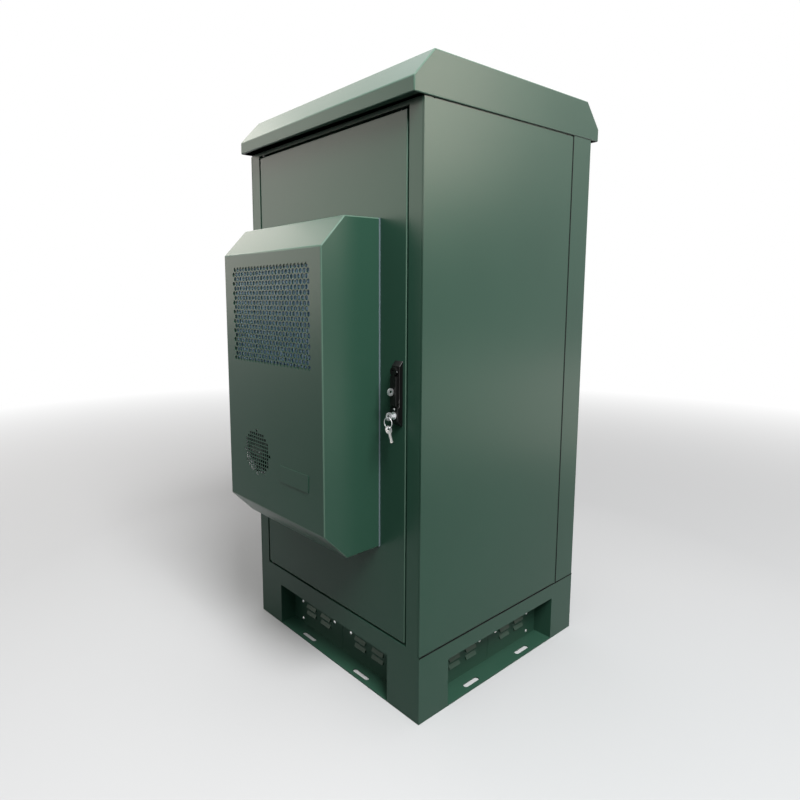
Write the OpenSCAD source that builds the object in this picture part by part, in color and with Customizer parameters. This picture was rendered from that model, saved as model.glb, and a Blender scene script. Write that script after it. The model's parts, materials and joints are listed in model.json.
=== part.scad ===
// Roadside utility cabinet with a cooling unit on its door, in millimetres.
// The origin is the centre of the footprint on the floor, +Z is up and the door faces -Y.

/* [Body] */
// Width of the cabinet body
body_w = 700; // [660:10:900]
// Depth of the cabinet body
body_d = 700; // [620:10:1000]
// Thickness of the body sheet
sheet = 2; // [1.5:0.25:2.5]
// Gap between neighbouring outer sheets
seam = 2; // [1:0.25:3]
// Width of the side strips of the rear frame
rear_strip_w = 93; // [70:1:140]
// Front fold of a side panel
panel_fold = 4; // [3:0.25:6]
// Width of the seats that the side panels lie on
seat_w = 30; // [20:1:40]

/* [Plinth] */
// Height of the plinth
base_h = 175; // [165:5:260]
// Width of the hand holes
hand_hole_w = 480; // [400:5:500]
// Height of the hand holes above the floor
hand_hole_h = 131; // [110:1:150]
// Depth of the recess behind a hand hole
recess_d = 55; // [45:1:70]
// Thickness of the floor flange
flange_t = 3; // [2:0.5:6]
// Length of an anchor slot
slot_l = 60; // [40:1:80]
// Width of an anchor slot
slot_w = 14; // [10:0.5:18]
// Distance of the anchor slots from the middle of a side
slot_x = 118; // [80:1:150]
// Distance of the anchor slots from the outer face
slot_in = 20; // [16:1:30]

/* [Louvred plinth panels] */
// Thickness of a louvred panel
vent_t = 1.5; // [1:0.25:2]
// Length of one louvre
louvre_l = 44; // [30:1:60]
// Height of one louvre
louvre_h = 10; // [8:0.5:15]
// Projection of one louvre
louvre_p = 5.5; // [4:0.5:8]
// Distance between louvre rows
louvre_pitch = 21; // [18:0.5:26]
// Number of louvre rows
louvre_rows = 5; // [2:1:5]
// Lower edge of the first louvre row above the flange
louvre_z = 42; // [30:1:50]
// Distance between the two louvre columns of a panel
louvre_col = 71; // [66:1:90]
// Distance of a panel's louvres from the middle of a side
louvre_x = 114; // [100:1:125]

/* [Door] */
// Width of the stiles beside the door opening
stile_w = 44; // [38:1:60]
// Sill between the plinth and the door
sill_h = 17; // [17:1:40]
// Height of the door leaf
door_h = 1272; // [1150:1:1600]
// Gap around the door leaf
door_gap = 6; // [4:0.25:6]
// Depth of the door leaf
door_t = 28; // [26:0.5:34]
// Width of the fold behind the door edge
door_lip = 28; // [26:1:40]
// Thickness of the compressed door gasket
gasket_t = 6; // [5:0.25:8]
// Width of the door gasket
gasket_w = 10; // [8:0.5:12]
// Distance of the hinge axis from the door edge
hinge_in = 13; // [12:0.25:14]
// Distance of the hinge axis behind the door face
hinge_back = 9; // [8.5:0.25:9.5]

/* [Roof] */
// Head between the door and the roof skirt
head_h = 16; // [12:1:40]
// Height of the upright roof fascia
fascia_h = 34; // [24:1:60]
// Height of the roof slope
slope_h = 66; // [50:1:100]
// Depth of the roof slope
slope_d = 65; // [50:1:100]
// Overhang at the front and rear
roof_over = 35; // [25:1:60]
// Width of the fold under the fascia
roof_lip = 18; // [10:1:24]

/* [Cooling unit] */
// Distance of the hood from the door's side edges
hood_side = 85; // [70:1:110]
// Height of the hood
hood_h = 818; // [760:2:900]
// Bottom of the hood above the floor
hood_z = 418; // [380:2:460]
// Projection of the hood from the door face
hood_d = 182; // [160:1:240]
// Chamfer at the hood's top and bottom
hood_chamfer = 70; // [50:1:80]
// Thickness of the gasket between hood and door
pad_t = 5; // [3:0.5:8]
// Depth of the unit behind the door face
inner_d = 100; // [90:1:130]
// Distance of the intake grille from the hood's side edges
grille_side = 38; // [30:1:80]
// Height of the intake grille
grille_h = 258; // [200:1:280]
// Distance of the grille below the hood front's upper edge
grille_drop = 30; // [20:1:60]
// Distance between grille holes in a row
grille_pitch = 14.5; // [14:0.5:20]
// Width of a grille hole across its corners
grille_hole = 13; // [8:0.2:13.4]
// Diameter of the round vent
vent_d = 136; // [110:1:150]
// Vent centre left of the middle
vent_x = 72; // [60:1:100]
// Vent centre above the hood front's lower edge
vent_rise = 149; // [120:1:170]
// Distance between the holes of the vent screen
screen_pitch = 10; // [8:0.5:14]
// Width of a hole of the vent screen
screen_hole = 7.4; // [5:0.1:8]

/* [Swing handle] */
// Length of the handle base
base_l = 158; // [150:1:180]
// Width of the handle base
base_w = 26; // [24:1:28]
// Thickness of the handle base
base_t = 12; // [10:0.5:16]
// Bottom of the handle base above the floor
base_z = 742; // [700:1:800]
// Distance of the handle's middle line from the door edge
lock_in = 22; // [21:0.5:26]
// Radius of the lever hub
hub_r = 10; // [9:0.25:11]
// Length of the lever from the hub axis
lever_l = 83; // [70:1:84]
// Width of the lever
lever_w = 20; // [16:0.5:22]
// Thickness of the lever
lever_t = 8; // [7:0.25:9]
// Outer radius of the padlock eye
eye_r = 9; // [8:0.25:11]
// Radius of the padlock eye's hole
eye_hole_r = 4.5; // [3.5:0.25:5.5]

/* [Lock] */
// Radius of the lock barrel
barrel_r = 9; // [8.5:0.25:9.5]
// Radius of the lock plug
plug_r = 6; // [5.5:0.25:6.5]
// Radius of a key bow
bow_r = 10; // [9:0.5:12]
// Radius of the key ring at the middle of its wire
ring_r = 12.5; // [11.5:0.25:15]
// Radius of a lock rod
rod_r = 4; // [3.5:0.25:4.5]
// Travel of a lock rod over a quarter turn of the handle
rod_travel = 10; // [8:0.25:10]

/* [Equipment rack] */
// Height of one rack unit
unit_h = 44.45; // [40:0.05:50]
// Width between the rails' hole lines
rail_pitch = 465.1; // [460:0.1:470]
// Width of the opening between the rails
rail_gap = 450; // [446:1:452]
// Side of the square rail holes
rail_hole = 9.5; // [8:0.1:11]
// Width and depth of a rail's two flanges
rail_w = 32; // [28:1:40]
// Height of the beams that carry the rails
beam_h = 40; // [30:1:50]

/* [Hidden] */
$fn = 48;

// Colours of the finishes
paint = [0.18, 0.30, 0.25];
zinc = [0.70, 0.72, 0.73];
black = [0.05, 0.05, 0.05];
rubber = [0.62, 0.68, 0.72];
fins = [0.25, 0.45, 0.62];
chrome = [0.80, 0.82, 0.84];

// Overrun of every cut, running clearance and clearance between moving pieces
overrun = 1;
fit = 0.05;
clear = 0.5;

// Levels and planes of the body
half_w = body_w / 2;
half_d = body_d / 2;
front_y = -half_d;
rear_y = half_d;
door_z = [base_h + sill_h, base_h + sill_h + door_h];
opening_z = [door_z[0] - door_gap, door_z[1] + door_gap];
roof_z = door_z[1] + head_h;
top_room = 38;
frame_top = roof_z + top_room;
opening_half = half_w - stile_w;
door_half = opening_half - door_gap;
skin_half = half_w - panel_fold - seam / 2;
door_back = front_y + door_t;
channel_d = door_t + gasket_t + sheet;
land_w = door_lip + door_gap;
land_y = front_y + channel_d - sheet;

// Rear panel seat and side panel
rear_land = 24;
rear_lap = 10;
panel_rear = rear_y - rear_strip_w - seam;
panel_z = [base_h + seam, roof_z - 2 * seam];
inner_span = [front_y + sheet + seat_w + seam, panel_rear - seat_w - seam];
panel_return = 18;

// Plinth folds
tab_w = 24;
strap_w = 70;
panel_gap = 1;
top_flange_d = recess_d + vent_t + sheet;

// Floor, gland plate and ceiling
floor_edge = 3;
gland_w = 340;
gland_d = 180;
gland_t = 3;
gland_lap = 20;
entry_r = 20;
entry_pitch = 70;
entry_count = 4;
rib_x = 200;
rib_w = 22;
flange_drop = 34;

// Roof cap
roof_half = half_w + sheet;
roof_y = half_d + roof_over;
roof_top = roof_z + fascia_h + slope_h;

// Rack rails
beam_w = 40;
rail_front_in = 160;
rail_rear_in = 100;
rail_front = front_y + rail_front_in;
rail_rear = rear_y - rail_rear_in;
floor_top = base_h + sheet;
rail_z = [floor_top + beam_h, frame_top - beam_h];
unit_count = floor((rail_z[1] - rail_z[0]) / unit_h);
rail_margin = (rail_z[1] - rail_z[0] - unit_count * unit_h) / 2;
rail_hole_shares = [1 / 7, 1 / 2, 6 / 7];
rail_x = rail_gap / 2;
beam_end = 20;

// Hinge pins
pivot_x = -(door_half - hinge_in);
pivot_y = front_y + hinge_back;
pin_r = 4;
pin_l = 34;
collar_r = 7;
collar_gap = 1;
gasket_gap = 1;
bush_r = 6.5;
bush_l = 24;

// Lock on the door
lock_x = door_half - lock_in;
hub_drop = 24;
hub_z = base_z + base_l - hub_drop;
base_front = front_y - base_t;
boss_rise = 5;
boss_t = base_t + boss_rise;
boss_l = 48;
boss_front = front_y - boss_t;
hub_front = base_front - clear - lever_t;
lever_y = [hub_front, base_front - clear];
cross_y = (lever_y[0] + lever_y[1]) / 2;
cross_r = 2;
tang_r = lever_t / 2 - clear;
tang_w = 8;
neck_gap = 2;
neck_l = hub_r + neck_gap;
lever_z = [hub_z - lever_l, hub_z - neck_l];
grip_bevel = 9;
shaft_r = 6;
case_d = 22;
case_w = 26;
rod_off = 6.4;
rod_back = 14;
rod_y = front_y + rod_back;
rod_start = 8;
rod_grip = 5;
case_l = 2 * (rod_start + rod_travel + rod_grip);
rod_short = 2;
rod_reach = 1;
guide_w = 18;
guide_h = 14;
guide_in = 60;
eye_t = 4;
eye_sink = 1;
eye_drop = 48;
eye_z = hub_z - eye_drop;

// Lock barrel, plug and keys
barrel_rise = 28;
barrel_z = base_z + barrel_rise;
barrel_proud = 1.5;
barrel_front = boss_front - barrel_proud;
plug_proud = 0.5;
plug_front = barrel_front - plug_proud;
key_t = 2.2;
blade_h = 7;
blade_l = 22;
plug_end = 3;
barrel_back = plug_front + blade_l + plug_end;
stem_l = 4;
bow_y = plug_front - stem_l - bow_r;
bow_hole = 3.4;
bow_off = 3;
wire_r = 0.9;
hang = 0.55;
hole_y = bow_y - bow_off;
ring_z = barrel_z - bow_hole + wire_r + hang - ring_r;
spare_hole_z = ring_z - ring_r + wire_r + hang - bow_hole;
spare_bow_z = spare_hole_z - bow_off;
spare_blade = 22;
spare_tilt = 20;

// Cooling unit outside the door
hood_half = door_half - hood_side;
hood_top = hood_z + hood_h;
hood_front = front_y - hood_d;
pad_front = front_y - pad_t;
pad_w = 18;
window_half = hood_half - pad_w;
window_z = [hood_z + pad_w, hood_top - pad_w];
plate_lap = 2;
chassis_front = pad_front - sheet;
grille_top = hood_top - hood_chamfer - grille_drop;
grille_z = [grille_top - grille_h, grille_top];
grille_half = hood_half - grille_side;
grille_rim = 8;
grille_rim_t = 1;
row_pitch = grille_pitch * sqrt(3) / 2;
hood_inside = hood_front + sheet;
vent_z = hood_z + hood_chamfer + vent_rise;
vent_r = vent_d / 2;
screen_margin = 4;

// Coils, fans and compressor
coil_gap = 3;
coil_t = 30;
coil_over = 4;
coil_half = grille_half - coil_over;
coil_y = from(hood_inside + grille_rim_t + coil_gap, coil_t);
coil_z = grow(grille_z, coil_over);
fin_pitch = 6;
fin_gap = 4.4;
fin_root = 6;
fan_side = 144;
fan_bore = 62;
fan_l = 38;
fan_run = 2;
fan_hub_r = 20;
fan_motor_r = 16;
fan_motor_l = 11;
fan_web = 4;
fan_arm = 8;
fan_shaft_r = 3;
fan_hub_l = 22;
fan_y = from(hood_inside, fan_l);
fan_motor_y = [fan_y[1] - fan_motor_l, fan_y[1]];
fan_hub_y = [fan_motor_y[0] - clear - fan_hub_l, fan_motor_y[0] - clear];
fan_blades = 5;
blade_pitch = 32;
blade_w = 36;
blade_t = 2;
tray_t = 3;
tray_rise = 84;
tray_z = hood_z + tray_rise;
tray_d = 120;
tray_side = 13;
tray_half = hood_half - sheet - tray_side;
comp_r = 50;
comp_h = 190;
comp_dome = 16;
comp_x = 100;
foot_r = 9;
foot_h = 10;
foot_off = 37;

// Cooling unit inside the door
cover_gap = 3;
cover_half = window_half - cover_gap;
cover_z = grow(window_z, -cover_gap);
cover_back = front_y + inner_d;
inlet_r = 60;
wheel_drop = 130;
wheel_z = cover_z[1] - wheel_drop;
outlet_side = 44;
outlet_half = cover_half - outlet_side;
outlet_h = 10;
outlet_pitch = 24;
outlet_rows = 6;
outlet_rise = 60;
outlet_z = cover_z[0] + outlet_rise;
motor_r = 38;
motor_l = 34;
motor_shaft_r = 4;
wheel_r = 78;
wheel_in = 56;
wheel_l = 46;
wheel_plate = 3;
wheel_hub_r = 14;
wheel_blades = 20;
wheel_start = 4;
evap_half = outlet_half;
evap_gap = 40;
evap_drop = 84;
evap_z = [outlet_z + outlet_rows * outlet_pitch + evap_gap, wheel_z - wheel_r - evap_drop];
evap_t = 40;

// Ranges along an axis: centred, from a start, and grown at both ends
function span(a) = [-a, a];
function from(a, l) = [a, a + l];
function about(c, a) = [c - a, c + a];
function grow(r, d) = [r[0] - d, r[1] + d];

// Box over three ranges
module slab(x, y, z) {
    translate([x[0], y[0], z[0]])
        cube([x[1] - x[0], y[1] - y[0], z[1] - z[0]]);
}

// Outline in Y and Z, extruded over a range of X
module extrude_x(x, points) {
    translate([x[0], 0, 0])
        rotate([90, 0, 90])
            linear_extrude(x[1] - x[0])
                polygon(points);
}

// Round bar along one axis
module bar_x(x, y, z, r) {
    translate([x[0], y, z])
        rotate([0, 90, 0])
            cylinder(h = x[1] - x[0], r = r);
}
module bar_y(x, y, z, r) {
    translate([x, y[0], z])
        rotate([-90, 0, 0])
            cylinder(h = y[1] - y[0], r = r);
}
module bar_z(x, y, z, r) {
    translate([x, y, z[0]])
        cylinder(h = z[1] - z[0], r = r);
}

// Flat drawing in X and Z, extruded over a range of Y
module sheet_y(y) {
    translate([0, y[1], 0])
        rotate([90, 0, 0])
            linear_extrude(y[1] - y[0])
                children();
}

// Rectangular frame in the X-Z plane: outer ranges and width of its border
module frame_y(x, y, z, border) {
    difference() {
        slab(x, y, z);
        slab(grow(x, -border), grow(y, overrun), grow(z, -border));
    }
}

// Plinth: folds behind one skin at distance d from the middle, for a side facing -Y
module plinth_folds(flange_w, top_w, d) {
    hole_half = hand_hole_w / 2;
    tab_y = from(-d + recess_d + vent_t, sheet);
    fold_z = [flange_t, base_h - sheet];
    difference() {
        slab(span(flange_w / 2), [-d + sheet, -d + recess_d], [0, flange_t]);
        for (x = [-slot_x, slot_x])
            anchor_slot(x, -d + slot_in);
    }
    slab(span(top_w / 2), [-d + sheet, -d + top_flange_d], from(base_h - sheet, sheet));
    slab(span(strap_w / 2), tab_y, fold_z);
    for (side = [0, 1])
        mirror([side, 0, 0]) {
            slab(from(hole_half, sheet), [-d + sheet, tab_y[1]], fold_z);
            slab([hole_half - tab_w, hole_half], tab_y, fold_z);
        }
}

module anchor_slot(x, y) {
    ends = (slot_l - slot_w) / 2;
    cut_z = grow([0, flange_t], overrun);
    slab(about(x, ends), about(y, slot_w / 2), cut_z);
    for (end = [-ends, ends])
        bar_z(x + end, y, cut_z, slot_w / 2);
}

module hand_hole(d) {
    slab(span(hand_hole_w / 2), grow(from(-d, sheet), overrun), [flange_t, hand_hole_h]);
}

module plinth_side(skin_w, flange_w, top_w, d) {
    difference() {
        slab(span(skin_w / 2), from(-d, sheet), [0, base_h]);
        hand_hole(d);
    }
    plinth_folds(flange_w, top_w, d);
}

module long_plinth_side() {
    plinth_side(body_d - 2 * sheet, body_d - 2 * recess_d, body_d - 2 * top_flange_d, half_w);
}

module right_plinth() {
    color(paint)
        rotate([0, 0, 90])
            long_plinth_side();
}

module left_plinth() {
    color(paint)
        rotate([0, 0, -90])
            long_plinth_side();
}

module rear_plinth() {
    color(paint)
        rotate([0, 0, 180])
            plinth_side(body_w, body_w - 2 * sheet, body_w - 2 * sheet, half_d);
}

// Louvred panels behind one hand hole, two side by side
module vent_pair(d) {
    panel_half = hand_hole_w / 4;
    y = -d + recess_d;
    for (side = [-1, 1])
        difference() {
            union() {
                slab(about(side * panel_half, panel_half - panel_gap / 2), from(y, vent_t),
                    [flange_t, base_h - sheet]);
                louvres(side * louvre_x, y, 0);
            }
            louvres(side * louvre_x, y, vent_t);
        }
}

// Louvre wedges of one panel, or with a wall their hollow inside
module louvres(x, y, wall) {
    half_l = louvre_l / 2 - wall;
    lip = louvre_p - wall;
    crest = louvre_h - wall * louvre_h / louvre_p;
    back = y + vent_t + overrun;
    for (col = [-1, 1])
        for (row = [0 : louvre_rows - 1]) {
            z = flange_t + louvre_z + row * louvre_pitch;
            wedge = [[y, z], [y, z + crest], [y - lip, z]];
            hollow = [[back, z], [back, z + crest], [y, z + crest], [y - lip, z], [y - lip, z - overrun],
                [y, z - overrun], [y, z]];
            extrude_x(about(x + col * louvre_col / 2, half_l), wall > 0 ? hollow : wedge);
        }
}

module front_vent_panels() {
    color(paint)
        vent_pair(half_d);
}

module right_vent_panels() {
    color(paint)
        rotate([0, 0, 90])
            vent_pair(half_w);
}

module rear_vent_panels() {
    color(paint)
        rotate([0, 0, 180])
            vent_pair(half_d);
}

module left_vent_panels() {
    color(paint)
        rotate([0, 0, -90])
            vent_pair(half_w);
}

// Front sheet with the door channel, from the floor to the ceiling
module front_frame() {
    color(paint)
        difference() {
            union() {
                slab(span(half_w), from(front_y, sheet), [0, base_h]);
                slab(span(skin_half), from(front_y, sheet), [base_h, frame_top]);
                door_channel();
                for (side = [0, 1])
                    mirror([side, 0, 0])
                        front_seat();
                plinth_folds(body_w - 2 * sheet, body_w - 2 * sheet, half_d);
            }
            slab(span(opening_half), grow(from(front_y, sheet), overrun), opening_z);
            hand_hole(half_d);
            for (side = [-1, 1])
                bar_z(lock_x + side * rod_off, rod_y, grow(opening_z, 2 * sheet), rod_r + 3 * clear);
        }
}

// Walls of the door opening and the land that the gasket meets
module door_channel() {
    difference() {
        slab(span(opening_half + sheet), [front_y + sheet, front_y + channel_d], grow(opening_z, sheet));
        slab(span(opening_half), [front_y, land_y], opening_z);
        slab(span(opening_half - land_w), [land_y - overrun, front_y + channel_d + overrun],
            grow(opening_z, -land_w));
    }
}

// Joggled seat for the front edge of a side panel
module front_seat() {
    seat_x = half_w - 2 * sheet;
    slab([skin_half - sheet, seat_x + sheet], from(front_y + sheet, sheet), [base_h, frame_top]);
    slab(from(seat_x, sheet), from(front_y + sheet, seat_w), [base_h, frame_top]);
}

module rear_frame() {
    strip_front = rear_y - rear_strip_w;
    color(paint)
        difference() {
            union() {
                slab(span(half_w), [rear_y - sheet, rear_y], [base_h, frame_top]);
                frame_y(span(opening_half + rear_lap), from(rear_y - 2 * sheet, sheet),
                    grow(opening_z, rear_lap), rear_lap + rear_land);
                for (side = [0, 1])
                    mirror([side, 0, 0]) {
                        slab([half_w - sheet, half_w], [strip_front, rear_y], [base_h, frame_top]);
                        slab(from(half_w - 2 * sheet, sheet), about(strip_front, seat_w), [base_h, frame_top]);
                    }
            }
            slab(span(opening_half), [rear_y - sheet, rear_y + overrun], opening_z);
        }
}

module rear_panel() {
    color(paint)
        slab(span(door_half), [rear_y - sheet, rear_y], door_z);
}

module side_panel() {
    slab([half_w - sheet, half_w], [front_y, panel_rear], panel_z);
    slab([half_w - panel_fold, half_w - sheet], from(front_y, sheet), panel_z);
    slab([half_w - panel_return, half_w - sheet], inner_span, from(panel_z[0], sheet));
}

module right_side_panel() {
    color(paint)
        side_panel();
}

module left_side_panel() {
    color(paint)
        mirror([1, 0, 0])
            side_panel();
}

// Roof outline in Y and Z, inset by a wall
function roof_outline(wall) =
    let (
        outer = roof_y - wall,
        ridge = roof_y - slope_d - wall * (norm([slope_d, slope_h]) - slope_d) / slope_h,
        eave = roof_z + fascia_h - wall * (norm([slope_d, slope_h]) - slope_h) / slope_d,
        low = roof_z - (wall > 0 ? overrun : 0)
    )
    [[-outer, low], [-outer, eave], [-ridge, roof_top - wall],
        [ridge, roof_top - wall], [outer, eave], [outer, low]];

module roof_cap() {
    color(paint) {
        difference() {
            extrude_x(span(roof_half), roof_outline(0));
            extrude_x(span(half_w), roof_outline(sheet));
        }
        for (side = [0, 1])
            mirror([0, side, 0])
                slab(span(half_w), from(-roof_y + sheet, roof_lip), from(roof_z, sheet));
    }
}

// Ceiling with folded sides and two ribs that carry the roof cap
module ceiling_tray() {
    plate_top = frame_top + sheet;
    rib_y = span(roof_y - slope_d - seat_w);
    color(paint) {
        slab(span(half_w - sheet), [front_y, rear_y], [frame_top, plate_top]);
        for (side = [0, 1])
            mirror([side, 0, 0]) {
                slab(from(half_w - 2 * sheet, sheet), inner_span, [panel_z[1] - flange_drop, frame_top]);
                slab(from(rib_x, sheet), rib_y, [plate_top, roof_top - sheet]);
                slab(from(rib_x, rib_w), rib_y, [roof_top - 2 * sheet, roof_top - sheet]);
            }
    }
}

module floor_plate() {
    color(zinc)
        difference() {
            slab(span(half_w - sheet - floor_edge), span(half_d - sheet - floor_edge), [base_h, floor_top]);
            slab(span(gland_w / 2 - gland_lap), span(gland_d / 2 - gland_lap),
                grow([base_h, floor_top], overrun));
        }
}

module gland_plate() {
    first = -entry_pitch * (entry_count - 1) / 2;
    color(zinc)
        difference() {
            slab(span(gland_w / 2), span(gland_d / 2), from(floor_top, gland_t));
            for (i = [0 : entry_count - 1])
                bar_z(first + i * entry_pitch, 0, grow(from(floor_top, gland_t), overrun), entry_r);
        }
}

// Right rack rail with its flange facing -Y at the given place
module rack_rail(y) {
    color(zinc)
        difference() {
            union() {
                slab(from(rail_x, rail_w), from(y, sheet), rail_z);
                slab([rail_x + rail_w - sheet, rail_x + rail_w], from(y, rail_w), rail_z);
            }
            for (unit = [0 : unit_count - 1])
                for (share = rail_hole_shares) {
                    z = rail_z[0] + rail_margin + (unit + share) * unit_h;
                    slab(about(rail_pitch / 2, rail_hole / 2), grow(from(y, sheet), overrun),
                        about(z, rail_hole / 2));
                }
        }
}

module front_right_rail() {
    rack_rail(rail_front);
}

module front_left_rail() {
    mirror([1, 0, 0])
        rack_rail(rail_front);
}

module rear_right_rail() {
    mirror([0, 1, 0])
        rack_rail(-rail_rear);
}

module rear_left_rail() {
    mirror([1, 0, 0])
        rear_right_rail();
}

// Channel that carries the rails, open on its outer side
module rail_beam(z) {
    beam_x = from(rail_x, beam_w);
    beam_y = [rail_front - beam_end, rail_rear + beam_end];
    color(zinc)
        difference() {
            slab(beam_x, beam_y, z);
            slab([rail_x + sheet, rail_x + beam_w + overrun], grow(beam_y, overrun), grow(z, -sheet));
        }
}

module right_floor_beam() {
    rail_beam([floor_top, rail_z[0]]);
}

module left_floor_beam() {
    mirror([1, 0, 0])
        right_floor_beam();
}

module right_ceiling_beam() {
    rail_beam([rail_z[1], frame_top]);
}

module left_ceiling_beam() {
    mirror([1, 0, 0])
        right_ceiling_beam();
}

// Door hinge: pins on the frame, bushes in the leaf
module top_pivot_pin() {
    color(zinc) {
        bar_z(pivot_x, pivot_y, [opening_z[1] - pin_l, opening_z[1]], pin_r);
        bar_z(pivot_x, pivot_y, [door_z[1] + collar_gap, opening_z[1]], collar_r);
    }
}

module bottom_pivot_pin() {
    color(zinc) {
        bar_z(pivot_x, pivot_y, from(opening_z[0], pin_l), pin_r);
        bar_z(pivot_x, pivot_y, [opening_z[0], door_z[0]], collar_r);
    }
}

// Ring around the hinge axis that runs on a pin
module pin_ring(z, r) {
    difference() {
        bar_z(pivot_x, pivot_y, z, r);
        bar_z(pivot_x, pivot_y, grow(z, overrun), pin_r + fit);
    }
}

module top_hinge_bush() {
    color(zinc)
        pin_ring([door_z[1] - sheet - bush_l, door_z[1] - sheet], bush_r);
}

module bottom_hinge_bush() {
    color(zinc)
        pin_ring(from(door_z[0] + sheet, bush_l), bush_r);
}

// Door leaf: a folded pan with cut-outs for the cooling unit, lock, rods and pins
module door_leaf() {
    skin_y = grow(from(front_y, sheet), overrun);
    through_z = grow(door_z, overrun);
    color(paint)
        difference() {
            slab(span(door_half), [front_y, door_back], door_z);
            slab(span(door_half - sheet), [front_y + sheet, door_back - sheet], grow(door_z, -sheet));
            slab(span(door_half - door_lip), [front_y + sheet, door_back + overrun], grow(door_z, -door_lip));
            slab(span(window_half), skin_y, window_z);
            bar_y(lock_x, skin_y, hub_z, shaft_r + clear);
            bar_y(lock_x, skin_y, barrel_z, barrel_r + clear);
            bar_z(pivot_x, pivot_y, through_z, pin_r + clear);
            for (side = [-1, 1])
                bar_z(lock_x + side * rod_off, rod_y, through_z, rod_r + clear);
        }
}

module door_gasket() {
    edge = hinge_in + gasket_gap;
    color(black)
        frame_y(span(door_half - edge), [door_back, land_y], grow(door_z, -edge), gasket_w);
}

// Base of the swing handle: bevelled ends and a raised boss for the barrel
module handle_base() {
    top = base_z + base_l;
    outline = [[front_y, base_z], [boss_front, base_z + boss_t], [boss_front, base_z + boss_l],
        [base_front, base_z + boss_l], [base_front, top - base_t], [front_y, top]];
    through = [boss_front - overrun, front_y + overrun];
    color(black)
        difference() {
            extrude_x(about(lock_x, base_w / 2), outline);
            bar_y(lock_x, through, hub_z, shaft_r + fit);
            bar_y(lock_x, through, barrel_z, barrel_r + fit);
        }
}

// Case behind the door sheet that turns the handle's quarter turn into rod travel
module lock_case() {
    y = [front_y + sheet, front_y + sheet + case_d];
    z = about(hub_z, case_l / 2);
    color(zinc)
        difference() {
            slab(about(lock_x, case_w / 2), y, z);
            bar_y(lock_x, grow(y, overrun), hub_z, shaft_r + fit);
            bar_z(lock_x - rod_off, rod_y, [hub_z + rod_start - rod_reach, z[1] + overrun], rod_r + fit);
            bar_z(lock_x + rod_off, rod_y, [z[0] - overrun, hub_z - rod_start + rod_reach], rod_r + fit);
        }
}

module rod_guide(x, z) {
    color(zinc)
        difference() {
            slab(about(x, guide_w / 2), [front_y + sheet, rod_y + guide_w / 2], about(z, guide_h / 2));
            bar_z(x, rod_y, grow(about(z, guide_h / 2), overrun), rod_r + fit);
        }
}

module upper_rod_guide() {
    rod_guide(lock_x - rod_off, door_z[1] - guide_in);
}

module lower_rod_guide() {
    rod_guide(lock_x + rod_off, door_z[0] + guide_in);
}

// Lock rods, drawn in: their ends stop short of the frame
module upper_rod() {
    color(zinc)
        bar_z(lock_x - rod_off, rod_y, [hub_z + rod_start, opening_z[1] - rod_short], rod_r);
}

module lower_rod() {
    color(zinc)
        bar_z(lock_x + rod_off, rod_y, [opening_z[0] + rod_short, hub_z - rod_start], rod_r);
}

// Hub with a fork for the lever's tang, and its shaft into the lock case
module handle_hub() {
    fork_x = about(lock_x, tang_w / 2 + clear);
    color(black)
        difference() {
            union() {
                bar_y(lock_x, lever_y, hub_z, hub_r);
                bar_y(lock_x, [lever_y[1], front_y + case_d], hub_z, shaft_r);
            }
            slab(fork_x, [lever_y[0] - overrun, lever_y[1]],
                [hub_z - hub_r - overrun, hub_z + tang_r + clear]);
            bar_x(about(lock_x, hub_r + overrun), cross_y, hub_z, cross_r + fit);
        }
}

module handle_lever() {
    tip = lever_z[0];
    outline = [[lever_y[1], lever_z[1]], [lever_y[1], tip + grip_bevel], [cross_y, tip], [lever_y[0], tip],
        [lever_y[0], lever_z[1]]];
    tang_x = about(lock_x, tang_w / 2);
    color(black)
        difference() {
            union() {
                extrude_x(about(lock_x, lever_w / 2), outline);
                slab(tang_x, about(cross_y, tang_r), [lever_z[1], hub_z]);
                bar_x(tang_x, cross_y, hub_z, tang_r);
            }
            bar_x(grow(tang_x, overrun), cross_y, hub_z, cross_r + fit);
        }
}

module handle_pin() {
    half_l = sqrt(hub_r * hub_r - cross_r * cross_r) - clear;
    color(chrome)
        bar_x(about(lock_x, half_l), cross_y, hub_z, cross_r);
}

module padlock_eye() {
    eye_y = lever_y[0] - eye_r + eye_sink;
    eye_x = about(lock_x, eye_t / 2);
    color(chrome)
        difference() {
            bar_x(eye_x, eye_y, eye_z, eye_r);
            bar_x(grow(eye_x, overrun), eye_y, eye_z, eye_hole_r);
            slab(grow(eye_x, overrun), [lever_y[0], lever_y[0] + eye_r], about(eye_z, eye_r));
        }
}

module lock_barrel() {
    color(chrome)
        difference() {
            bar_y(lock_x, [barrel_front, barrel_back], barrel_z, barrel_r);
            bar_y(lock_x, [barrel_front - overrun, barrel_back + overrun], barrel_z, plug_r + fit);
        }
}

module lock_plug() {
    color(chrome)
        difference() {
            bar_y(lock_x, [plug_front, barrel_back], barrel_z, plug_r);
            slab(about(lock_x, key_t / 2), [plug_front - overrun, plug_front + blade_l],
                about(barrel_z, blade_h / 2));
        }
}

// Bow of a key in the Y-Z plane
module key_bow(y, z, hole_y, hole_z) {
    x = about(lock_x, key_t / 2);
    difference() {
        bar_x(x, y, z, bow_r);
        bar_x(grow(x, overrun), hole_y, hole_z, bow_hole);
    }
}

module key() {
    color(chrome) {
        key_bow(bow_y, barrel_z, hole_y, barrel_z);
        slab(about(lock_x, key_t / 2), [bow_y + bow_r - overrun, plug_front + blade_l],
            about(barrel_z, blade_h / 2));
    }
}

module key_ring() {
    color(chrome)
        translate([lock_x, hole_y, ring_z])
            rotate([90, 0, 0])
                rotate_extrude()
                    translate([ring_r, 0])
                        circle(wire_r);
}

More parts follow.
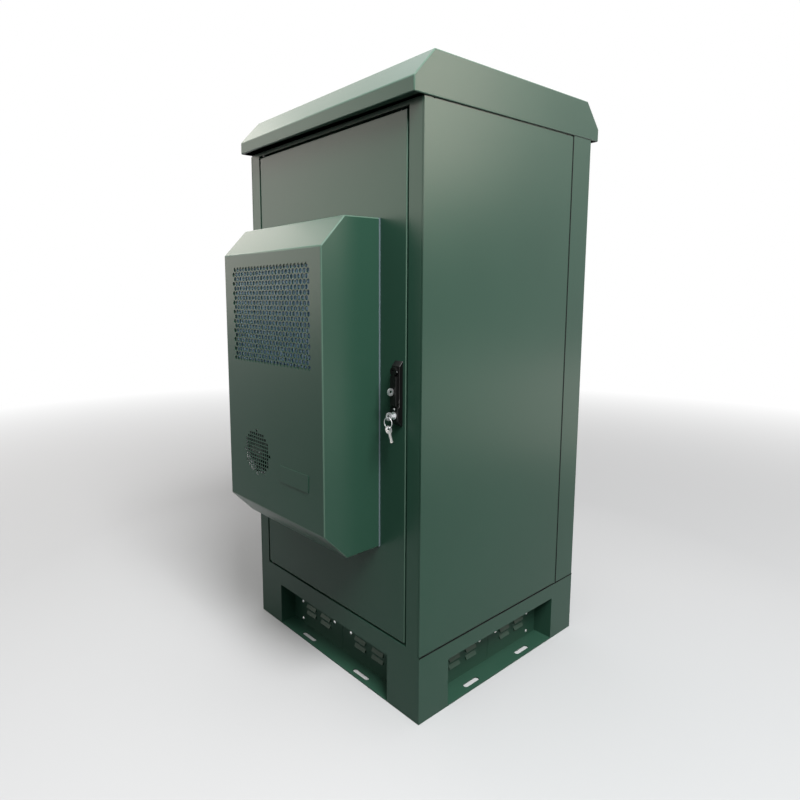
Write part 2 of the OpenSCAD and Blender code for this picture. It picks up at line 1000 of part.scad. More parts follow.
module spare_key() {
    blade_top = spare_bow_z - bow_r + overrun;
    seat = [lock_x, hole_y, ring_z - ring_r];
    color(chrome)
        translate(seat)
            rotate([0, -spare_tilt, 0])
                translate(-seat) {
                    key_bow(hole_y, spare_bow_z, hole_y, spare_hole_z);
                    slab(about(lock_x, key_t / 2), about(hole_y, blade_h / 2),
                        [blade_top - spare_blade, blade_top]);
                }
}

// Hood outline in Y and Z, inset by a wall
function hood_outline(wall) =
    let (
        turn = wall * (sqrt(2) - 1),
        front = hood_front + wall,
        bend = hood_front + hood_chamfer + turn,
        back = pad_front + (wall > 0 ? overrun : 0)
    )
    [[back, hood_z + wall], [bend, hood_z + wall], [front, hood_z + hood_chamfer + turn],
        [front, hood_top - hood_chamfer - turn], [bend, hood_top - wall], [back, hood_top - wall]];

module cooler_hood() {
    face_y = grow(from(hood_front, sheet), overrun);
    color(paint)
        difference() {
            extrude_x(span(hood_half), hood_outline(0));
            extrude_x(span(hood_half - sheet), hood_outline(sheet));
            slab(span(grille_half), face_y, grille_z);
            bar_y(-vent_x, face_y, vent_z, vent_r);
        }
}

// Perforated grille, flush with the hood and held by a rim behind it
module intake_grille() {
    columns = floor((2 * grille_half - grille_hole) / grille_pitch);
    rows = floor((grille_h - grille_hole) / row_pitch);
    first_x = -columns * grille_pitch / 2;
    first_z = (grille_z[0] + grille_z[1]) / 2 - rows * row_pitch / 2;
    rim_z = grow(grille_z, grille_rim);
    color(paint) {
        sheet_y(from(hood_front, sheet))
            difference() {
                translate([-grille_half, grille_z[0]])
                    square([2 * grille_half, grille_h]);
                for (row = [0 : rows])
                    for (i = [0 : columns - row % 2])
                        translate([first_x + (i + (row % 2) / 2) * grille_pitch, first_z + row * row_pitch])
                            rotate(90)
                                circle(d = grille_hole, $fn = 6);
            }
        frame_y(span(grille_half + grille_rim), from(hood_inside, grille_rim_t), rim_z, 2 * grille_rim);
    }
}

// Square holes on a grid that stay inside a circle
module screen_holes(r) {
    count = floor(r / screen_pitch);
    for (column = [-count : count])
        for (row = [-count : count]) {
            x = column * screen_pitch;
            z = row * screen_pitch;
            if (norm([x, z]) + screen_hole < r)
                translate([x, z])
                    square(screen_hole, center = true);
        }
}

module vent_screen() {
    color(paint)
        sheet_y(from(hood_front, sheet))
            translate([-vent_x, vent_z])
                difference() {
                    circle(vent_r - fit);
                    screen_holes(vent_r - screen_margin + screen_hole / 2);
                }
}

module cooler_gasket() {
    color(rubber)
        frame_y(span(hood_half), [pad_front, front_y], [hood_z, hood_top], pad_w);
}

module cooler_chassis() {
    edge = sheet + plate_lap;
    color(zinc)
        slab(span(hood_half - edge), [chassis_front, pad_front], grow([hood_z, hood_top], -edge));
}

// Finned coil: a block with slots cut from its front face
module finned_coil(half, y, z) {
    count = floor((2 * half - fin_pitch) / fin_pitch);
    first = -(count - 1) * fin_pitch / 2;
    difference() {
        slab(span(half), y, z);
        for (i = [0 : count - 1])
            slab(about(first + i * fin_pitch, fin_gap / 2), [y[0] - overrun, y[1] - fin_root],
                grow(z, overrun));
    }
}

module condenser_coil() {
    color(fins)
        finned_coil(coil_half, coil_y, coil_z);
}

// Sheet frame that carries the condenser coil on the chassis
module condenser_frame() {
    color(zinc) {
        for (side = [0, 1])
            mirror([side, 0, 0])
                slab(from(coil_half, sheet), [coil_y[0], chassis_front], coil_z);
        slab(span(coil_half + sheet), [coil_y[0], chassis_front], [coil_z[0] - sheet, coil_z[0]]);
        slab(span(coil_half + sheet), [coil_y[0], chassis_front], [coil_z[1], coil_z[1] + sheet]);
    }
}

// Axial fan behind the round vent
module fan_housing() {
    web_y = [fan_y[1] - fan_web, fan_y[1]];
    color(zinc) {
        difference() {
            slab(about(-vent_x, fan_side / 2), fan_y, about(vent_z, fan_side / 2));
            bar_y(-vent_x, grow(fan_y, overrun), vent_z, fan_bore);
        }
        difference() {
            union() {
                slab(about(-vent_x, fan_bore + overrun), web_y, about(vent_z, fan_arm / 2));
                slab(about(-vent_x, fan_arm / 2), web_y, about(vent_z, fan_bore + overrun));
            }
            bar_y(-vent_x, grow(web_y, overrun), vent_z, fan_motor_r - overrun);
        }
        bar_y(-vent_x, fan_motor_y, vent_z, fan_motor_r);
        bar_y(-vent_x, [fan_hub_y[0], fan_motor_y[0]], vent_z, fan_shaft_r);
    }
}

module condenser_fan() {
    middle = (fan_hub_y[0] + fan_hub_y[1]) / 2;
    color(black)
        difference() {
            union() {
                bar_y(-vent_x, fan_hub_y, vent_z, fan_hub_r);
                intersection() {
                    bar_y(-vent_x, fan_hub_y, vent_z, fan_bore - fan_run);
                    translate([-vent_x, middle, vent_z])
                        for (i = [0 : fan_blades - 1])
                            rotate([0, i * 360 / fan_blades, 0])
                                rotate([0, 0, blade_pitch])
                                    fan_blade();
                }
            }
            bar_y(-vent_x, grow(fan_hub_y, overrun), vent_z, fan_shaft_r + fit);
        }
}

// Blade standing up along Z, tilted about its own length
module fan_blade() {
    slab(span(blade_w / 2), span(blade_t / 2), [fan_hub_r - overrun, fan_bore]);
}

module compressor_tray() {
    color(zinc) {
        slab(span(tray_half), [chassis_front - tray_d, chassis_front], from(tray_z, tray_t));
        slab(span(tray_half), [chassis_front - tray_t, chassis_front], from(tray_z, tray_d / 2));
    }
}

module compressor() {
    foot_z = from(tray_z + tray_t, foot_h);
    can_z = from(foot_z[1] - overrun, comp_h);
    middle = chassis_front - tray_d / 2;
    color(black) {
        for (a = [0 : 120 : 240])
            translate([comp_x, middle, 0])
                rotate([0, 0, a + 30])
                    bar_z(foot_off, 0, foot_z, foot_r);
        translate([comp_x, middle, can_z[0]])
            rotate_extrude()
                polygon([[0, 0], [comp_r, 0], [comp_r, comp_h - comp_dome], [comp_r - comp_dome, comp_h],
                    [0, comp_h]]);
    }
}

// Cover on the inside of the door, with a perforated inlet and outlet slots
module inner_cover() {
    color(zinc)
        difference() {
            slab(span(cover_half), [pad_front, cover_back], cover_z);
            slab(span(cover_half - sheet), [pad_front - overrun, cover_back - sheet], grow(cover_z, -sheet));
            sheet_y(grow([cover_back - sheet, cover_back], overrun))
                translate([0, wheel_z])
                    screen_holes(inlet_r);
            for (row = [0 : outlet_rows - 1])
                slab(span(outlet_half), grow([cover_back - sheet, cover_back], overrun),
                    from(outlet_z + row * outlet_pitch, outlet_h));
        }
}

module evaporator_coil() {
    color(fins)
        mirror([0, 1, 0])
            finned_coil(evap_half, [-pad_front - evap_t, -pad_front], evap_z);
}

module blower_motor() {
    motor_y = from(pad_front, motor_l);
    color(black) {
        bar_y(0, motor_y, wheel_z, motor_r);
        bar_y(0, [motor_y[1], motor_y[1] + wheel_l], wheel_z, motor_shaft_r);
    }
}

// Centrifugal wheel: back plate, hub, blades and front ring
module blower_wheel() {
    wheel_y = from(pad_front + motor_l + wheel_start, wheel_l);
    plate_y = from(wheel_y[0], wheel_plate);
    ring_y = [wheel_y[1] - wheel_plate, wheel_y[1]];
    color(black)
        difference() {
            union() {
                bar_y(0, plate_y, wheel_z, wheel_r);
                bar_y(0, [wheel_y[0], wheel_y[1] - 2 * wheel_plate], wheel_z, wheel_hub_r);
                difference() {
                    bar_y(0, ring_y, wheel_z, wheel_r);
                    bar_y(0, grow(ring_y, overrun), wheel_z, wheel_in);
                }
                for (i = [0 : wheel_blades - 1])
                    translate([0, 0, wheel_z])
                        rotate([0, i * 360 / wheel_blades, 0])
                            slab(span(blade_t / 2), [plate_y[0], ring_y[1]],
                                grow([wheel_in, wheel_r], -overrun));
            }
            bar_y(0, grow(wheel_y, overrun), wheel_z, motor_shaft_r + fit);
        }
}

front_frame();
rear_frame();
left_side_panel();
right_side_panel();
rear_panel();
roof_cap();
ceiling_tray();
left_plinth();
right_plinth();
rear_plinth();
front_vent_panels();
right_vent_panels();
rear_vent_panels();
left_vent_panels();
floor_plate();
gland_plate();
front_left_rail();
front_right_rail();
rear_left_rail();
rear_right_rail();
left_floor_beam();
right_floor_beam();
left_ceiling_beam();
right_ceiling_beam();
top_pivot_pin();
bottom_pivot_pin();
door_leaf();
door_gasket();
top_hinge_bush();
bottom_hinge_bush();
handle_base();
lock_case();
upper_rod_guide();
lower_rod_guide();
lock_barrel();
cooler_gasket();
cooler_chassis();
cooler_hood();
intake_grille();
vent_screen();
condenser_frame();
condenser_coil();
fan_housing();
compressor_tray();
compressor();
inner_cover();
evaporator_coil();
blower_motor();
handle_hub();
handle_lever();
handle_pin();
padlock_eye();
lock_plug();
key();
key_ring();
spare_key();
upper_rod();
lower_rod();
condenser_fan();
blower_wheel();
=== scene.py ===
"""Finishes, rounded folds, screws, studio and camera for the roadside utility cabinet, in metres."""

import json
import math

import bmesh
import bpy
from mathutils import Matrix, Vector

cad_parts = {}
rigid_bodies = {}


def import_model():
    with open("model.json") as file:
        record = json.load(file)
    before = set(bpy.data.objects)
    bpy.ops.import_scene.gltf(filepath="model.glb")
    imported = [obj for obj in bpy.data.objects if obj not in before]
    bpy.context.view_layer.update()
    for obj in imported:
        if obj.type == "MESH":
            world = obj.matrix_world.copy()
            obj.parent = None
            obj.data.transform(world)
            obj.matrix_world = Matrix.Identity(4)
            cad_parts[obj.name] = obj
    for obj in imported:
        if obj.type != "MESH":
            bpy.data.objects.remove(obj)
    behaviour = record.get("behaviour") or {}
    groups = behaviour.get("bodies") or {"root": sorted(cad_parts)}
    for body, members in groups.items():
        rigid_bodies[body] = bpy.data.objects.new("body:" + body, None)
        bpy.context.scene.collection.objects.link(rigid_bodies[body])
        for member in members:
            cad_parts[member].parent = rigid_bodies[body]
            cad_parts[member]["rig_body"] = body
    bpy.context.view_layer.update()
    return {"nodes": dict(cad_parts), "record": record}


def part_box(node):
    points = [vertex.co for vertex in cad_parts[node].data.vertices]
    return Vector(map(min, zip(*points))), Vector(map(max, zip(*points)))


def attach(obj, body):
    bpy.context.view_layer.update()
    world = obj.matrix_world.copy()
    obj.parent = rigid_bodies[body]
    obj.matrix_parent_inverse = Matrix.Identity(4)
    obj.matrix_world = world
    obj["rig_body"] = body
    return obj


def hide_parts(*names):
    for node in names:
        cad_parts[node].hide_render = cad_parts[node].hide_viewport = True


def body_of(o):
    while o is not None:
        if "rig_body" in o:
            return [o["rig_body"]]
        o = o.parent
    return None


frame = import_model()
nodes = frame["nodes"]
slot_of = {part["node"]: part["material_slot"] for part in frame["record"]["subparts"]}

# Reach within which points are joined or lie on a box edge, and how flat two faces are to be one
MERGE = 0.00001
NEAR = 0.0001
FLAT = math.radians(0.5)

# Rounded outward edges: radius on folded sheets, pierced sheets and castings, and steps of the round
FOLD_RADIUS = 0.0028
PIERCED_RADIUS = 0.0018
CAST_RADIUS = 0.0011
FOLD_STEPS = 3
ROUND_PROFILE = 0.5

# An edge is rounded when it is as sharp as this angle and its faces are as wide as this share of the radius
FOLD_ANGLE = math.radians(28)
WIDE_SHARE = 2.2

# Nodes that get rounded edges
FOLDED_SHEETS = ("left_side_panel", "right_side_panel", "roof_cap", "cooler_hood")
PIERCED_SHEETS = ("front_frame", "rear_frame", "inner_cover", "door_leaf")
CASTINGS = ("handle_base", "handle_lever")

# Screw heads: radius of the large and the small ones
SCREW = 0.0046
SMALL_SCREW = 0.0026

# Form of a head of radius 1: crown, cross slot and facets
CROWN_SHARE = 0.5
SLOT_WIDTH_SHARE = 0.24
SLOT_LENGTH_SHARE = 1.2
SLOT_DEPTH_SHARE = 0.3
HEAD_SIDES = 20
HEAD_RINGS = 10

# Screws of the louvred panels: distance from the side's middle line, and the heights above the floor there
PANEL_SCREWS = {0.195: (0.017, 0.075, 0.158), 0.037: (0.075, 0.158)}

# How far the louvres stand out of their panel
LOUVRE_PROUD = 0.0055

# Screws along the rims of plates: inset from the edges, and counts along the two edges
REAR_PANEL_RIM = (0.012, (4, 5))
GLAND_PLATE_RIM = (0.01, (4, 2))
INNER_COVER_RIM = (0.014, (3, 5))
LOCK_CASE_RIM = (0.005, (2, 2))

# Axes that the plates lie across
ACROSS_Y = 1
ACROSS_Z = 2

# Catch between the lever and the lock barrel
CATCH = Vector((0.279, -0.367, 0.786))

# Blank plate on the hood: middle, size, thickness and corner radius
PLATE_MIDDLE = (0.0965, 0.6045)
PLATE_SIZE = (0.121, 0.043)
PLATE_THICKNESS = 0.0016
PLATE_CORNER = 0.003

# Thin sheet of the vent's screen
SCREEN_SHEET = 0.0008

# Pale sleeve in the fan's bore, painted light on the bore wall: inner and outer radius, sides and length
SLEEVE_RADII = (0.0612, 0.0619)
SLEEVE_SIDES = 64
SLEEVE_LENGTH = 0.0038

# Black strips of painted shade in the joints of the side panels and the plinth: seam, widths of upright and
# level strips, how proud they sit
SEAM = 0.002
UPRIGHT_SHADE_STRIP = 0.005
LEVEL_SHADE_STRIP = 0.0034
SHADE_STRIP_PROUD = 0.0004

# Studio floor: reach from the middle, drop below the cabinet, and where its fade to white begins and ends
FLOOR_REACH = 14.0
FLOOR_DROP = 0.0006
FLOOR_FADE = (1.5, 5.0)

# Strength of the world as a light, where 1 is white
WORLD_LIGHT = 0.16

# Lamps: place, point that they face, width and height, radiance, tint, and whether they light or only mirror
WHITE = (1.0, 1.0, 1.0)
WARM = (1.0, 0.9, 0.82)
AMBER = (1.0, 0.85, 0.76)
LAMPS = {
    "overhead": ((0.0, -0.3, 3.8), (0, 0, 0.8), (4.0, 4.0), 1.5, WHITE, True),
    "key": ((2.7, -1.2, 4.2), (0.3, -0.1, 0.9), (2.0, 2.0), 21.0, WHITE, True),
    "left_wall": ((-3.6, -0.7, 3.3), (0, -0.4, 1.2), (2.2, 1.8), 3.0, WARM, True),
    "left_front_wall": ((-3.2, -3.4, 2.1), (0, -0.4, 1.4), (3.2, 2.6), 4.4, WARM, False),
    "left_rear_wall": ((-2.7, 0.95, 3.0), (0, -0.4, 1.3), (2.6, 2.2), 1.35, WARM, False),
    "right_rear_wall": ((3.6, 2.4, 2.9), (0.3, 0, 1.3), (2.2, 2.0), 12.5, AMBER, False),
    "right_rear_low_wall": ((1.95, 1.75, 0.32), (0.35, 0, 0.7), (2.0, 0.64), 1.5, WARM, False),
}

# Camera of the photograph: frame, focal length and picture centre in pixels, sensor in mm, place and turn
IMAGE = 800
FOCAL = 593.431
CENTRE = (310.193, 371.081)
SENSOR = 36.0
CAMERA = Vector((1.257054, -1.362872, 1.064327))
YAW = math.radians(52.615)
PITCH = math.radians(-7.6)
ROLL = math.radians(-0.861)


class Value:
    """A shader socket that takes part in Python arithmetic."""

    def __init__(self, tree, socket):
        self.tree = tree
        self.socket = socket

    def math(self, operation, first, second):
        return self.tree.node("ShaderNodeMath", {"operation": operation}, {0: first, 1: second})

    def __add__(self, other):
        return self.math("ADD", self, other)

    def __mul__(self, other):
        return self.math("MULTIPLY", self, other)

    __radd__ = __add__
    __rmul__ = __mul__


class Tree:
    """A node tree filled by one node-making method."""

    def __init__(self, data):
        self.data = data
        self.data.nodes.clear()

    def node(self, kind, settings=None, sockets=None, output=0):
        made = self.data.nodes.new(kind)
        for name, value in (settings or {}).items():
            setattr(made, name, value)
        for name, value in (sockets or {}).items():
            for one in value if isinstance(value, list) else [value]:
                if isinstance(one, Value):
                    self.data.links.new(one.socket, made.inputs[name])
                else:
                    made.inputs[name].default_value = one
        return Value(self, made.outputs[output]) if made.outputs else made


class Finish(Tree):
    """The nodes of a material or of the world."""

    def __init__(self, owner):
        owner.use_nodes = True
        self.owner = owner
        super().__init__(owner.node_tree)

    def surface(self, shader, kind="ShaderNodeOutputMaterial"):
        self.node(kind, sockets={"Surface": shader})
        return self.owner

    def place(self):
        return self.node("ShaderNodeTexCoord", output="Object")

    def noise(self, place, scale, detail):
        return self.node("ShaderNodeTexNoise", {}, {"Vector": place, "Scale": scale, "Detail": detail}, "Fac")

    def cells(self, place, scale, output):
        return self.node("ShaderNodeTexVoronoi", {}, {"Vector": place, "Scale": scale}, output)

    def blend(self, share, first, second):
        return self.node("ShaderNodeMix", {"data_type": "RGBA"}, {0: share, 6: first, 7: second}, 2)

    def bump(self, height, distance):
        return self.node("ShaderNodeBump", {}, {"Height": height, "Distance": distance, "Strength": 1.0})


def rgb(red, green, blue):
    """Linear colour of three screen values from 0 to 255."""
    def linear(value):
        value /= 255
        return value / 12.92 if value <= 0.04045 else ((value + 0.055) / 1.055) ** 2.4
    return (linear(red), linear(green), linear(blue), 1.0)


def new_finish(name):
    return Finish(bpy.data.materials.new(name))


def green_powder_coat(name, roughness, specular):
    """Powder coat: orange peel, cloudy tone, and a painted highlight along the rounded folds."""
    coat = new_finish(name)
    place = coat.place()
    cloud = coat.noise(place, scale=2.6, detail=3.0)
    fleck = coat.noise(place, scale=900.0, detail=1.0)
    peel = coat.noise(place, scale=420.0, detail=1.5)
    fold = coat.node("ShaderNodeAttribute", {"attribute_name": "fold"}, output="Fac")
    tone = coat.blend(cloud, rgb(43, 75, 61), rgb(49, 83, 68))
    tone = coat.blend(fleck * 0.12, tone, rgb(66, 106, 88))
    # Painted highlight: the round fold strips are lightened towards a pale green, as if they caught the
    # light.
    tone = coat.blend(fold * 0.5, tone, rgb(112, 140, 124))
    return coat.surface(coat.node("ShaderNodeBsdfPrincipled", {}, {
        "Base Color": tone,
        "Roughness": roughness + cloud * 0.06 + fleck * 0.04,
        "Specular IOR Level": specular,
        "Normal": coat.bump(peel, distance=0.00006),
    }))


def galvanised_sheet():
    """Zinc with a fine spangle."""
    zinc = new_finish("galvanised_sheet")
    place = zinc.place()
    spangle = zinc.cells(place, scale=120.0, output="Color")
    patch = zinc.node("ShaderNodeSeparateColor", {}, {"Color": spangle}, "Red")
    cloud = zinc.noise(place, scale=9.0, detail=3.0)
    tone = zinc.blend(patch * 0.6 + cloud * 0.3, rgb(158, 163, 166), rgb(206, 210, 212))
    return zinc.surface(zinc.node("ShaderNodeBsdfPrincipled", {}, {
        "Base Color": tone,
        "Metallic": 0.4,
        "Roughness": 0.38 + patch * 0.14 + cloud * 0.06,
    }))


def satin_grain(name, tones, roughness, grain_scale, grain_depth):
    """Cast or moulded surface with a fine grain, cloudy between two tones."""
    skin = new_finish(name)
    place = skin.place()
    cloud = skin.noise(place, scale=14.0, detail=3.0)
    grain = skin.noise(place, scale=grain_scale, detail=2.0)
    return skin.surface(skin.node("ShaderNodeBsdfPrincipled", {}, {
        "Base Color": skin.blend(cloud, *tones),
        "Roughness": roughness + grain * 0.12,
        "Specular IOR Level": 0.3,
        "Normal": skin.bump(grain, grain_depth),
    }))


def foam_rubber(name, tones):
    """Closed-cell foam with fine pores, cloudy between two tones."""
    foam = new_finish(name)
    place = foam.place()
    pores = foam.cells(place, scale=900.0, output="Distance")
    cloud = foam.noise(place, scale=20.0, detail=3.0)
    return foam.surface(foam.node("ShaderNodeBsdfPrincipled", {}, {
        "Base Color": foam.blend(cloud, *tones),
        "Roughness": 0.72 + pores * 0.2,
        "Specular IOR Level": 0.1,
        "Normal": foam.bump(pores, distance=0.0002),
    }))


def coated_fins():
    """Blue-grey coil fins with fine upright lines."""
    fins = new_finish("coated_fins")
    place = fins.place()
    lines = fins.node("ShaderNodeTexWave", {"wave_type": "BANDS", "bands_direction": "X"},
                      {"Vector": place, "Scale": 160.0, "Distortion": 0.4}, "Fac")
    cloud = fins.noise(place, scale=12.0, detail=3.0)
    return fins.surface(fins.node("ShaderNodeBsdfPrincipled", {}, {
        "Base Color": fins.blend(lines * 0.6 + cloud * 0.3, rgb(112, 150, 182), rgb(168, 200, 222)),
        "Metallic": 0.35,
        "Roughness": 0.38 + cloud * 0.15,
        "Normal": fins.bump(lines, distance=0.0002),
    }))


def bright_plate():
    """Plated steel with fine turning marks."""
    plate = new_finish("bright_plate")
    place = plate.place()
    cloud = plate.noise(place, scale=60.0, detail=3.0)
    marks = plate.noise(place, scale=1600.0, detail=1.0)
    return plate.surface(plate.node("ShaderNodeBsdfPrincipled", {}, {
        "Base Color": plate.blend(cloud, rgb(212, 214, 216), rgb(240, 241, 242)),
        "Metallic": 0.85,
        "Roughness": 0.26 + marks * 0.14,
        "Normal": plate.bump(marks, distance=0.00002),
    }))


LACQUER_TONES = (rgb(12, 12, 12), rgb(22, 22, 22))
BLACK_TONES = (rgb(22, 22, 23), rgb(36, 36, 37))
# Near-white tones of the bore sleeve, painted light on the bore wall
BORE_LIGHT_TONES = (rgb(226, 227, 225), rgb(240, 241, 239))
BLACK_FOAM_TONES = (rgb(11, 12, 12), rgb(22, 23, 23))
PALE_FOAM_TONES = (rgb(92, 106, 112), rgb(112, 126, 132))
FINISHES = {
    "paint": green_powder_coat("green_powder_coat", roughness=0.26, specular=0.2),
    "sheltered_paint": green_powder_coat("dull_green_powder_coat", roughness=0.42, specular=0.16),
    "zinc": galvanised_sheet(),
    "black_metal": satin_grain("black_lacquer", LACQUER_TONES, 0.24, grain_scale=700.0, grain_depth=0.00004),
    "black_plastic": satin_grain("black_moulding", BLACK_TONES, 0.5, grain_scale=1100.0, grain_depth=0.00008),
    # Near-white finish of the bore sleeve, painted light on the bore wall
    "bore_light_pale": satin_grain("bore_light_pale", BORE_LIGHT_TONES, 0.45, grain_scale=1100.0, grain_depth=0.00008),
    "black_rubber": foam_rubber("black_foam", BLACK_FOAM_TONES),
    "pale_rubber": foam_rubber("pale_foam", PALE_FOAM_TONES),
    "blue_fins": coated_fins(),
    "bright_steel": bright_plate(),
}


def finished(obj, finish):
    """Gives a piece one finish all over."""
    obj.data.materials.clear()
    obj.data.materials.append(FINISHES[finish])


def linked(name, data):
    """A new object in the scene."""
    obj = bpy.data.objects.new(name, data)
    bpy.context.scene.collection.objects.link(obj)
    return obj


def placed(name, mesh, body, slot):
    """A new piece with its finish, riding on a body."""
    obj = linked(name, mesh)
    finished(obj, slot)
    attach(obj, body)
    return obj


def merged(node):
    """Working copy of a CAD node with its loose triangles joined."""
    shape = bmesh.new()
    shape.from_mesh(nodes[node].data)
    bmesh.ops.remove_doubles(shape, verts=shape.verts, dist=MERGE)
    return shape


def add_box(shape, low, high):
    """Adds a box between two corners to a working shape."""
    low, high = Vector(low), Vector(high)
    corners = bmesh.ops.create_cube(shape, size=1.0)["verts"]
    bmesh.ops.scale(shape, vec=high - low, verts=corners)
    bmesh.ops.translate(shape, vec=(low + high) / 2, verts=corners)


def rounded_edges(shape, edges, radius):
    """Rounds edges of a working shape and gives the new faces."""
    return bmesh.ops.bevel(shape, geom=edges, offset=radius, offset_type="OFFSET", segments=FOLD_STEPS,
                           profile=ROUND_PROFILE, affect="EDGES", clamp_overlap=False)["faces"]


def meshed(name, shape):
    """Mesh of a working shape, which ends here."""
    mesh = bpy.data.meshes.new(name)
    shape.to_mesh(mesh)
    shape.free()
    return mesh


def stand_in(name, shape, node):
    """The piece that takes a CAD node's place, on its body and with its finish."""
    piece = placed(name, meshed(name, shape), body_of(nodes[node])[0], slot_of[node])
    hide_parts(node)


def width_of(face):
    """About the width of a long face."""
    return 2 * face.calc_area() / face.calc_perimeter()


def is_fold(edge, radius):
    """A sharp outward edge between two faces that have room for the radius."""
    if len(edge.link_faces) != 2 or edge.calc_face_angle_signed(0) < FOLD_ANGLE:
        return False
    return min(width_of(face) for face in edge.link_faces) > WIDE_SHARE * radius


def on_box_edge(edge, box):
    """The edge runs along an edge of the box."""
    ends = [vert.co for vert in edge.verts]
    return sum(any(all(abs(end[axis] - corner[axis]) < NEAR for end in ends) for corner in box)
               for axis in range(3)) > 1


def rounded(node, radius, whole):
    """Copy of a CAD node with rounded outward folds, all of them or those along its box.

    The attribute fold marks the round strips, where the green paint puts a painted highlight.
    """
    shape = merged(node)
    bmesh.ops.dissolve_limit(shape, angle_limit=FLAT, verts=shape.verts, edges=shape.edges)
    strip = shape.faces.layers.float.new("fold")
    folds = [edge for edge in shape.edges
             if is_fold(edge, radius) and (whole or on_box_edge(edge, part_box(node)))]
    for face in rounded_edges(shape, folds, radius):
        face[strip] = 1.0
        face.smooth = True
    many_sided = [face for face in shape.faces if len(face.verts) > 4]
    bmesh.ops.triangulate(shape, faces=many_sided, ngon_method="EAR_CLIP")
    stand_in(node + "_folds", shape, node)


def head_group():
    """Geometry nodes: a cross-slotted dome on each point.

    It stands along the point's attribute out and is as large as its attribute radius.
    """
    group = bpy.data.node_groups.new("screw_heads", "GeometryNodeTree")
    tree = Tree(group)
    kinds = {"Points": "Geometry", "Crown": "Float", "Slot Width": "Float", "Slot Length": "Float",
             "Slot Depth": "Float", "Sides": "Int", "Rings": "Int", "Finish": "Material"}
    for name, kind in kinds.items():
        group.interface.new_socket(name, in_out="INPUT", socket_type="NodeSocket" + kind)
    group.interface.new_socket("Heads", in_out="OUTPUT", socket_type="NodeSocketGeometry")
    given = {name: tree.node("NodeGroupInput", output=name) for name in kinds}

    def vector(x, y, z):
        return tree.node("ShaderNodeCombineXYZ", {}, {"X": x, "Y": y, "Z": z})

    def box(size, middle):
        cube = tree.node("GeometryNodeMeshCube", {}, {"Size": size})
        return tree.node("GeometryNodeTransform", {}, {"Geometry": cube, "Translation": middle})

    ball = tree.node("GeometryNodeMeshUVSphere", {}, {
        "Segments": given["Sides"], "Rings": given["Rings"], "Radius": 1.0})
    dome = tree.node("GeometryNodeTransform", {}, {
        "Geometry": ball, "Scale": vector(1.0, 1.0, given["Crown"])})
    lower_half = box((3.0, 3.0, 2.0), (0.0, 0.0, -1.0))
    # The boxes of the slots stand half above the crown
    top = vector(0.0, 0.0, given["Crown"])
    height = given["Slot Depth"] * 2.0
    slots = [box(vector(given["Slot Length"], given["Slot Width"], height), top),
             box(vector(given["Slot Width"], given["Slot Length"], height), top)]
    head = tree.node("GeometryNodeMeshBoolean", {"operation": "DIFFERENCE"}, {
        "Mesh 1": dome, "Mesh 2": [lower_half] + slots})
    out = tree.node("GeometryNodeInputNamedAttribute", {"data_type": "FLOAT_VECTOR"}, {"Name": "out"})
    radius = tree.node("GeometryNodeInputNamedAttribute", {"data_type": "FLOAT"}, {"Name": "radius"})
    turn = tree.node("FunctionNodeAlignRotationToVector", {"axis": "Z"}, {"Vector": out})
    heads = tree.node("GeometryNodeInstanceOnPoints", {}, {
        "Points": given["Points"], "Instance": head, "Rotation": turn, "Scale": radius})
    solid = tree.node("GeometryNodeRealizeInstances", {}, {"Geometry": heads})
    tree.node("NodeGroupOutput", {}, {"Heads": tree.node("GeometryNodeSetMaterial", {}, {
        "Geometry": solid, "Material": given["Finish"]})})
    return group


def screws(name, body, slot, spots):
    """One piece of screw heads on a body, from their places, outward directions and radii."""
    places, outs, radii = zip(*spots)
    points = bpy.data.meshes.new(name + "_points")
    points.from_pydata(places, [], [])
    out = points.attributes.new("out", "FLOAT_VECTOR", "POINT")
    out.data.foreach_set("vector", [part for direction in outs for part in direction])
    radius = points.attributes.new("radius", "FLOAT", "POINT")
    radius.data.foreach_set("value", radii)
    carrier = linked(name + "_points", points)
    heads = carrier.modifiers.new("heads", "NODES")
    heads.node_group = HEADS
    inputs = {"Crown": CROWN_SHARE, "Slot Width": SLOT_WIDTH_SHARE, "Slot Length": SLOT_LENGTH_SHARE,
              "Slot Depth": SLOT_DEPTH_SHARE, "Sides": HEAD_SIDES, "Rings": HEAD_RINGS,
              "Finish": FINISHES[slot]}
    for socket in HEADS.interface.items_tree:
        if socket.name in inputs:
            heads[socket.identifier] = inputs[socket.name]
    bpy.context.view_layer.update()
    shown = carrier.evaluated_get(bpy.context.evaluated_depsgraph_get())
    mesh = bpy.data.meshes.new_from_object(shown)
    bpy.data.objects.remove(carrier)
    placed(name, mesh, body, slot)


def even(low, high, count):
    """Evenly spaced numbers from low to high."""
    return [low + (high - low) * step / (count - 1) for step in range(count)]


def rim(node, axis, inset, counts, radius):
    """Screws along the rim of the high face of a node's box across an axis, counted along both edges."""
    low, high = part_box(node)
    first, second = [other for other in range(3) if other != axis]
    rows = [even(low[along] + inset, high[along] - inset, count)
            for along, count in zip((first, second), counts)]
    out = Vector((0, 0, 0))
    out[axis] = 1
    spots = []
    for u in rows[0]:
        for v in rows[1]:
            if u in (rows[0][0], rows[0][-1]) or v in (rows[1][0], rows[1][-1]):
                place = Vector((0, 0, 0))
                place[first], place[second], place[axis] = u, v, high[axis]
                spots.append((place, out, radius))
    return spots


def panel_spots():
    """Screws of the louvred panels behind the four hand holes."""
    reach = -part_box("front_vent_panels")[0][1] - LOUVRE_PROUD
    spots = []
    for quarter in range(4):
        turn = Matrix.Rotation(quarter * math.pi / 2, 3, "Z")
        for x, heights in PANEL_SCREWS.items():
            for z in heights:
                for side in (-x, x):
                    spots.append((turn @ Vector((side, -reach, z)), turn @ Vector((0, -1, 0)), SCREW))
    return spots


